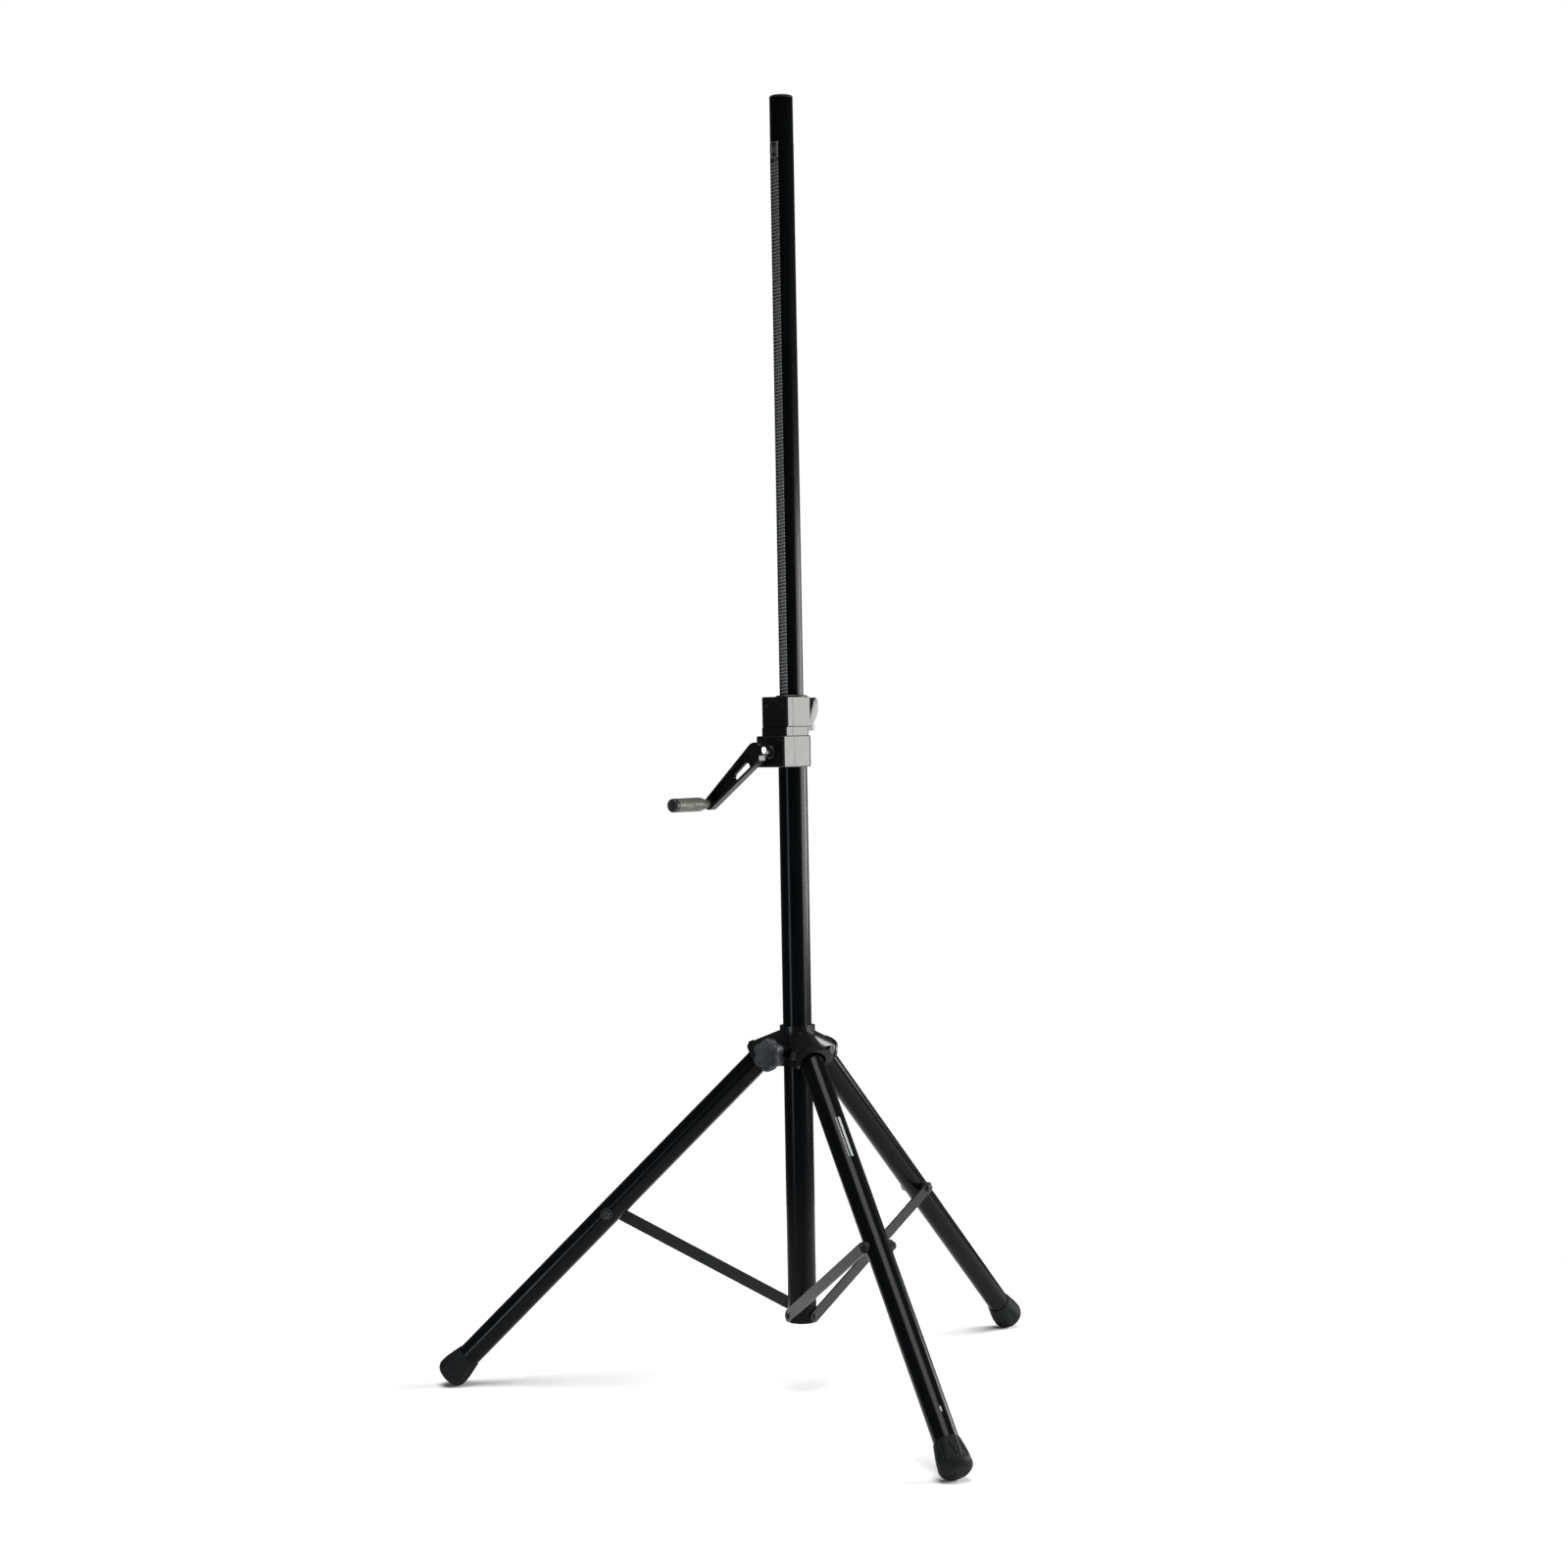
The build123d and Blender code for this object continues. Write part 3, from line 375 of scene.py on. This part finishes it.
def knob_point(turn, run):
    """Six-lobed knob with a rounded rim and a dished face."""
    distance, radius = along_line(knob_profile, run)
    angle = turn * 2 * math.pi
    lobe = 0.5 + 0.5 * math.cos(KNOB_LOBES * (angle - math.pi / KNOB_LOBES))
    radius -= KNOB_NOTCH * (1 - lobe ** 0.65) * smoothstep(0.35, 0.9, radius / KNOB_RADIUS)
    return ring_point(angle, radius, distance * knob_length / KNOB_DEPTH)


knob_mesh = skin("knob", knob_point, 144, 90, knob_place)
make_piece("knob", knob_mesh, knob_plastic, "hub_knob", ["hub_knob"])

# ------------------------------------------------------------------ crank grip
GRIP_RADIUS = 0.0102  # at its free end
GRIP_NECK = 0.0062
GRIP_EDGE = 0.0006
SWELL_LENGTH = 0.0214
SWELL = 0.0042
INSET_AT = math.radians(-5)  # the inset faces right
INSET_MIDDLE = 0.050
INSET_HALF_LENGTH = 0.0114
INSET_HALF_WIDTH = 0.0029
INSET_DEPTH = 0.0009
INSET_BORDER = 0.12
OUTSIDE = 0.008  # the grip's surface is its outside beyond this radius

grip_low, grip_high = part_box("crank_grip")
grip_middle = joint_place("grip_spin")
grip_place = facing_frame(Vector((grip_middle.x, grip_high.y, grip_middle.z)))
grip_length = grip_high.y - grip_low.y
grip_profile = [
    (0.0, 0.0041), (0.0, 0.0056), (GRIP_EDGE, GRIP_NECK),
    *(
        (GRIP_EDGE + SWELL_LENGTH * k / 16, GRIP_NECK + SWELL * smoothstep(0, 1, k / 16))
        for k in range(1, 17)
    ),
    (0.040, 0.01035), (grip_length - GRIP_EDGE, GRIP_RADIUS), (grip_length, 0.0098), (grip_length, 0.004),
]


def grip_inset(angle, distance):
    """How far inside the oval thumb inset a place is, from 0 at its border."""
    across = math.remainder(angle - INSET_AT, 2 * math.pi) * GRIP_RADIUS / INSET_HALF_WIDTH
    down = (distance - INSET_MIDDLE) / INSET_HALF_LENGTH
    return 1 - math.hypot(across, down)


def grip_point(turn, run):
    distance, radius = along_line(grip_profile, run)
    angle = turn * 2 * math.pi
    if radius > OUTSIDE:
        radius -= INSET_DEPTH * smoothstep(0, INSET_BORDER, grip_inset(angle, distance))
    return ring_point(angle, radius, distance)


grip_mesh = skin("grip_body", grip_point, 120, 150, grip_place, start_cap=False, end_cap=False)
make_piece("grip_body", grip_mesh, grip_plastic, "grip", ["crank_grip"])

CAP_EDGE = 0.0032  # roundness of the cap's rim
CAP_DIMPLE = 0.0007  # depth of the hollow in its end

cap_low, cap_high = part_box("grip_end_cap")
cap_length = cap_high.y - cap_low.y
cap_place = facing_frame(Vector((grip_middle.x, cap_high.y, grip_middle.z)))
cap_profile = [
    (0.0, 0.002), (0.0, 0.0098), (0.0003, GRIP_RADIUS), (cap_length - CAP_EDGE, GRIP_RADIUS),
    *quarter_round(cap_length - CAP_EDGE, 0.0070, CAP_EDGE, 12),
    (cap_length - 0.0001, 0.0052), (cap_length - CAP_DIMPLE, 0.0046), (cap_length - CAP_DIMPLE, 0.0004),
]


def grip_cap_point(turn, run):
    distance, radius = along_line(cap_profile, run)
    return ring_point(turn * 2 * math.pi, radius, distance)


cap_mesh = skin("grip_cap", grip_cap_point, 96, 80, cap_place)
make_piece("grip_cap", cap_mesh, black_plastic, "grip", ["grip_end_cap"])

# ------------------------------------------------------------------ lock lever
LEVER_HALF_WIDTH = 0.011
LEVER_ROUNDING = 0.0014
LEVER_BLADE = (  # millimetres behind the column's axis, and up from the pivot
    (26.6, 3.8), (30.6, 19.0), (36.2, 33.0), (39.4, 40.0), (45.4, 44.8),
    (50.4, 38.5), (50.8, 30.0), (48.4, 20.0), (42.6, 10.5), (35.2, 2.4),
)
LEVER_CAM = (30.5, 0.0)  # middle of the round lower end, half a millimetre in front of the pivot
LEVER_CAM_RADIUS = 5.5
BLADE_STEPS = 4


def smooth_line(points, steps):
    """Places on a smooth curve through the points (a Catmull-Rom spline)."""
    chain = [points[0], *points, points[-1]]
    line = []
    for a, b, c, d in zip(chain, chain[1:], chain[2:], chain[3:]):
        for k in range(steps):
            t = k / steps
            line.append(tuple(
                q + t * ((r - p) + t * ((2 * p - 5 * q + 4 * r - s) + t * (3 * q - p - 3 * r + s))) / 2
                for p, q, r, s in zip(a, b, c, d)
            ))
    return line + [points[-1]]


cam_turns = [math.radians(turn) for turn in range(8, -208, -18)]
cam_line = [
    (LEVER_CAM[0] + LEVER_CAM_RADIUS * math.cos(turn), LEVER_CAM[1] + LEVER_CAM_RADIUS * math.sin(turn))
    for turn in cam_turns
]
lever_line = smooth_line(LEVER_BLADE, BLADE_STEPS) + cam_line
lever_mesh = bpy.data.meshes.new("lever")
lever_shape = bmesh.new()
lever_height = joint_place("lever_swing").z
rims = []
for x in (-LEVER_HALF_WIDTH, LEVER_HALF_WIDTH):
    rims.append([
        lever_shape.verts.new((column.x + x, column.y + y / 1000, lever_height + z / 1000))
        for y, z in lever_line
    ])
for k in range(len(lever_line)):
    n = (k + 1) % len(lever_line)
    lever_shape.faces.new((rims[0][k], rims[0][n], rims[1][n], rims[1][k]))
cheeks = [lever_shape.faces.new(rim) for rim in rims]
bmesh.ops.recalc_face_normals(lever_shape, faces=lever_shape.faces)
border = [edge for edge in lever_shape.edges if any(face in cheeks for face in edge.link_faces)]
bmesh.ops.bevel(
    lever_shape, geom=border, offset=LEVER_ROUNDING, segments=4, profile=0.5, affect="EDGES",
    clamp_overlap=True,
)
lever_shape.to_mesh(lever_mesh)
lever_shape.free()
make_piece("lever", lever_mesh, lever_plastic, "lock_lever", ["lock_lever"])

# ------------------------------------------------------------------ plain stripes on the right leg
STRIPE_LIFT = 0.00012  # how far the print stands off the tube
STRIPE_COLUMNS = 6
STRIPES = (  # name, degrees round the leg from its upper line, distance down it, length, width
    ("stripe_wide", -6, 0.165, 0.070, 0.0036),
    ("stripe_narrow", 10, 0.165, 0.070, 0.0010),
    ("stripe_low", 2, 0.620, 0.008, 0.0020),
)


def stripe(name, turn, along, length, width, side):
    """A straight print down a leg, bent round it in narrow columns."""
    mesh = bpy.data.meshes.new(name)
    shape = bmesh.new()
    place = leg_frame(side, along)
    pairs = []
    for k in range(STRIPE_COLUMNS + 1):
        angle = math.pi / 2 + math.radians(turn) + (k / STRIPE_COLUMNS - 0.5) * width / LEG_RADIUS
        pairs.append([
            shape.verts.new(place @ ring_point(angle, LEG_RADIUS + STRIPE_LIFT, end * length / 2))
            for end in (-1, 1)
        ])
    for (a, b), (c, d) in zip(pairs, pairs[1:]):
        shape.faces.new((a, c, d, b))
    shape.to_mesh(mesh)
    shape.free()
    make_piece(name, mesh, print_white, f"leg_{side}")


for name, turn, along, length, width in STRIPES:
    stripe(name, turn, along, length, width, "right")

# ------------------------------------------------------------------ floor, lights, camera
VIEW_ANGLE = math.radians(38.62)
CAMERA_DISTANCE = 4.094
CAMERA_HEIGHT = 0.9915
CAMERA_PAN = math.radians(-0.19)
CAMERA_PITCH = math.radians(-1.10)
CAMERA_ROLL = math.radians(-1.02)
LENS = 62.9

FLOOR_RADIUS = 1.5
AMBIENT = 0.10  # what the dark side of the studio sends back
OVERHEAD_TILT = (math.radians(10), math.radians(8), 0)
OVERHEAD_SPREAD = math.radians(35)

floor_mesh = bpy.data.meshes.new("floor")
floor_shape = bmesh.new()
bmesh.ops.create_circle(floor_shape, cap_ends=True, segments=256, radius=FLOOR_RADIUS)
floor_shape.to_mesh(floor_mesh)
floor_shape.free()
floor = bpy.data.objects.new("floor", floor_mesh)
collection.objects.link(floor)
floor_paint = finish_material(
    "floor_paint", (0.90, 0.90, 0.90), (0.92, 0.92, 0.92), rough=0.8, rough_spread=0.05,
    grain=300, grain_depth=0.0001, grain_strength=0.05, specular=0.0,
)
floor_mesh.materials.append(floor_paint)

# white behind the object, and a dim room all round it
world = bpy.data.worlds.new("studio")
world.use_nodes = True
studio = world.node_tree
backdrop = studio.nodes["Background"]
backdrop.inputs["Color"].default_value = (1, 1, 1, 1)
rays = studio.nodes.new("ShaderNodeLightPath")
glow = blend_values(studio, rays.outputs["Is Camera Ray"], AMBIENT, 1.0)
studio.links.new(glow, backdrop.inputs["Strength"])
bpy.context.scene.world = world
bpy.context.scene.view_settings.view_transform = "Standard"

sight = Vector((-math.sin(VIEW_ANGLE), math.cos(VIEW_ANGLE), 0))
right = Vector((math.cos(VIEW_ANGLE), math.sin(VIEW_ANGLE), 0))


def soft_light(name, turn, away, height, width, tall, radiance, colour):
    """A soft box, turned from the camera's side round the column, that faces the column."""
    lamp = bpy.data.lights.new(name, "AREA")
    lamp.shape = "RECTANGLE"
    lamp.size = width
    lamp.size_y = tall
    lamp.energy = radiance * math.pi * width * tall
    lamp.color = colour
    bearing = math.radians(turn)
    place = column + (right * math.sin(bearing) - sight * math.cos(bearing)) * away + UP * height
    aim = column + UP * height
    lamp_object = bpy.data.objects.new(name, lamp)
    lamp_object.location = place
    lamp_object.rotation_euler = (aim - place).to_track_quat("-Z", "Y").to_euler()
    lamp_object.visible_camera = False
    collection.objects.link(lamp_object)


soft_light("softbox_right", 95, 2.5, 1.0, 2.8, 1.0, 15, (1.0, 1.0, 0.97))
soft_light("softbox_left", -47, 3.0, 0.45, 0.35, 0.9, 18, (0.78, 0.91, 1.0))
soft_light("softbox_low_right", 74, 3.0, 0.4, 0.4, 0.6, 12, (0.82, 0.93, 1.0))
overhead = bpy.data.lights.new("overhead", "SUN")
overhead.energy = 2.7
overhead.angle = OVERHEAD_SPREAD
overhead_object = bpy.data.objects.new("overhead", overhead)
overhead_object.rotation_euler = OVERHEAD_TILT
collection.objects.link(overhead_object)

camera_data = bpy.data.cameras.new("camera")
camera_data.lens = LENS
camera_data.sensor_width = 36.0
camera = bpy.data.objects.new("camera", camera_data)
collection.objects.link(camera)
panned = sight * math.cos(CAMERA_PAN) + right * math.sin(CAMERA_PAN)
across_view = right * math.cos(CAMERA_PAN) - sight * math.sin(CAMERA_PAN)
look = panned * math.cos(CAMERA_PITCH) + UP * math.sin(CAMERA_PITCH)
head = UP * math.cos(CAMERA_PITCH) - panned * math.sin(CAMERA_PITCH)
rolled_right = across_view * math.cos(CAMERA_ROLL) + head * math.sin(CAMERA_ROLL)
rolled_up = head * math.cos(CAMERA_ROLL) - across_view * math.sin(CAMERA_ROLL)
turned = Matrix((rolled_right, rolled_up, -look)).transposed().to_4x4()
camera.matrix_world = Matrix.Translation(column - sight * CAMERA_DISTANCE + UP * CAMERA_HEIGHT) @ turned
bpy.context.scene.camera = camera
